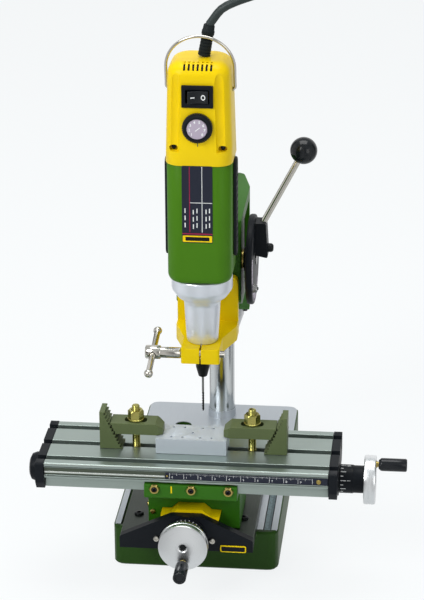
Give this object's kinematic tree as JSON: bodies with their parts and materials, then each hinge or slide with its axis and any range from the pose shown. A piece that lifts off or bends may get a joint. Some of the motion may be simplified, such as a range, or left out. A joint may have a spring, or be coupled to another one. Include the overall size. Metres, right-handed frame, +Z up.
{
  "type": "benchtop milling machine",
  "caption": "Small column drill and mill stand with a hand-held mains machine in its feed arm, a cross-slide table, step clamps and a drilled workpiece.",
  "frame": {"origin": "centre of the base casting's underside", "axes": "+Z up along the column, +X to the operator's right along the table, +Y away from the operator"},
  "size_m": [0.4399, 0.3019, 0.4297],
  "materials": {
    "green_paint": "textured",
    "yellow_paint": "satin",
    "green_shell": "fine grain",
    "yellow_shell": "satin",
    "chrome": "polished",
    "steel": "turned",
    "zinc_yellow": "yellow zinc plated",
    "brass": "turned",
    "dark_steel": "blackened",
    "olive_steel": "phosphated",
    "black_plastic": "moulded",
    "black_rubber": "matt",
    "aluminium": "milled",
    "cast_aluminium": "cast and blasted"
  },
  "bodies": {
    "stand": {"base": "green_paint", "column": "chrome", "base_ruler": "black_plastic", "bed_plate": "dark_steel", "y_rail": "yellow_paint", "front_plate": "black_plastic"},
    "y_drive": {"y_leadscrew": "steel", "y_dial": "black_plastic", "y_handwheel": "aluminium"},
    "y_crank": {"y_grip": "black_plastic"},
    "cross_slide": {"carriage": "green_paint", "y_nut": "brass", "x_nut": "brass"},
    "work_table": {"table": "aluminium", "table_cap_left": "black_plastic", "table_cap_right": "black_plastic", "table_ruler": "black_plastic", "workpiece": "aluminium"},
    "x_drive": {"x_leadscrew": "steel", "x_dial": "black_plastic", "x_handwheel": "aluminium"},
    "x_crank": {"x_grip": "black_plastic"},
    "left_clamp": {"left_step_block": "olive_steel", "left_strap": "olive_steel", "left_tee_bolt": "zinc_yellow", "left_nut": "zinc_yellow"},
    "right_clamp": {"right_step_block": "olive_steel", "right_strap": "olive_steel", "right_tee_bolt": "zinc_yellow", "right_nut": "zinc_yellow"},
    "depth_collar": {"height_collar": "cast_aluminium"},
    "head": {"head_housing": "green_paint", "head_clamp_screw": "black_plastic", "cord": "black_rubber", "cord_coil": "black_rubber", "cord_plug": "black_plastic"},
    "lever": {"pinion_shaft": "steel", "lever_disc": "black_plastic", "lever_hub": "black_plastic", "lever_rod": "chrome", "lever_ball": "black_plastic"},
    "feed_slide": {"feed_arm": "yellow_paint", "feed_rack": "steel", "gear_head": "cast_aluminium", "motor_body": "green_shell", "motor": "dark_steel", "strip_left": "black_rubber", "strip_right": "black_rubber", "body_cap": "yellow_shell", "switch_frame": "black_plastic", "strain_relief": "black_rubber"},
    "arm_screw": {"clamp_screw": "steel"},
    "arm_tommy": {"tommy_bar": "steel"},
    "spindle": {"motor_shaft": "steel", "chuck": "dark_steel", "drill_bit": "steel"},
    "rocker": {"switch_rocker": "black_plastic"},
    "speed_dial": {"speed_knob": "black_plastic"},
    "hanger": {"bail": "chrome"}
  },
  "joints": [
    {"name": "y_wheel", "type": "hinge", "parent": "stand", "child": "y_drive", "pos_m": [-0.003, -0.15, 0.0435], "axis": [0, 1, 0], "range_deg": [-3600, 12960]},
    {"name": "y_grip_spin", "type": "hinge", "parent": "y_drive", "child": "y_crank", "pos_m": [-0.003, -0.17, 0.0312], "axis": [0, 1, 0], "continuous": true},
    {"name": "cross_travel", "type": "slide", "parent": "stand", "child": "cross_slide", "axis": [0, 1, 0], "range_m": [-0.01, 0.036]},
    {"name": "table_travel", "type": "slide", "parent": "cross_slide", "child": "work_table", "axis": [1, 0, 0], "range_m": [-0.063, 0.07]},
    {"name": "x_wheel", "type": "hinge", "parent": "work_table", "child": "x_drive", "pos_m": [0.12, -0.1105, 0.0773], "axis": [1, 0, 0], "range_deg": [-22680, 25200]},
    {"name": "x_grip_spin", "type": "hinge", "parent": "x_drive", "child": "x_crank", "pos_m": [0.14, -0.1105, 0.0896], "axis": [1, 0, 0], "continuous": true},
    {"name": "left_clamp_travel", "type": "slide", "parent": "work_table", "child": "left_clamp", "axis": [-1, 0, 0], "range_m": [0, 0.028]},
    {"name": "right_clamp_travel", "type": "slide", "parent": "work_table", "child": "right_clamp", "axis": [1, 0, 0], "range_m": [0, 0.028]},
    {"name": "head_height", "type": "slide", "parent": "stand", "child": "depth_collar", "axis": [0, 0, 1], "range_m": [0, 0.05]},
    {"name": "head_swivel", "type": "hinge", "parent": "depth_collar", "child": "head", "pos_m": [0, 0.09, 0.18], "axis": [0, 0, 1], "range_deg": [-5, 60]},
    {"name": "feed", "type": "slide", "parent": "head", "child": "feed_slide", "axis": [0, 0, -1], "range_m": [0, 0.03], "stiffness_N_per_m": 300, "springref_m": -0.1},
    {"name": "feed_lever", "type": "hinge", "parent": "head", "child": "lever", "pos_m": [0, 0.007, 0.1965], "axis": [1, 0, 0], "range_deg": [0, 143.3]},
    {"name": "arm_screw_turn", "type": "hinge", "parent": "feed_slide", "child": "arm_screw", "pos_m": [0, -0.0645, 0.15], "axis": [1, 0, 0], "range_deg": [0, 180]},
    {"name": "tommy_slide", "type": "slide", "parent": "arm_screw", "child": "arm_tommy", "axis": [0, 0.9848, 0.1736], "range_m": [-0.019, 0.019]},
    {"name": "spindle_spin", "type": "hinge", "parent": "feed_slide", "child": "spindle", "pos_m": [0, -0.05, 0.14], "axis": [0, 0, 1], "continuous": true},
    {"name": "switch", "type": "hinge", "parent": "feed_slide", "child": "rocker", "pos_m": [0, -0.0716, 0.3458], "axis": [0, 0, -1], "range_deg": [0, 16]},
    {"name": "speed_turn", "type": "hinge", "parent": "feed_slide", "child": "speed_dial", "pos_m": [0, -0.073, 0.3235], "axis": [0, 1, 0], "range_deg": [0, 270]},
    {"name": "bail_swing", "type": "hinge", "parent": "feed_slide", "child": "hanger", "pos_m": [0, -0.05, 0.3448], "axis": [1, 0, 0], "range_deg": [0, 95]}
  ],
  "couplings": [
    {"joint": "y_wheel", "follows": "cross_travel", "rad_per_m": 6283.2},
    {"joint": "x_wheel", "follows": "table_travel", "rad_per_m": 6283.2},
    {"joint": "feed_lever", "follows": "feed", "rad_per_m": 83.333}
  ]
}
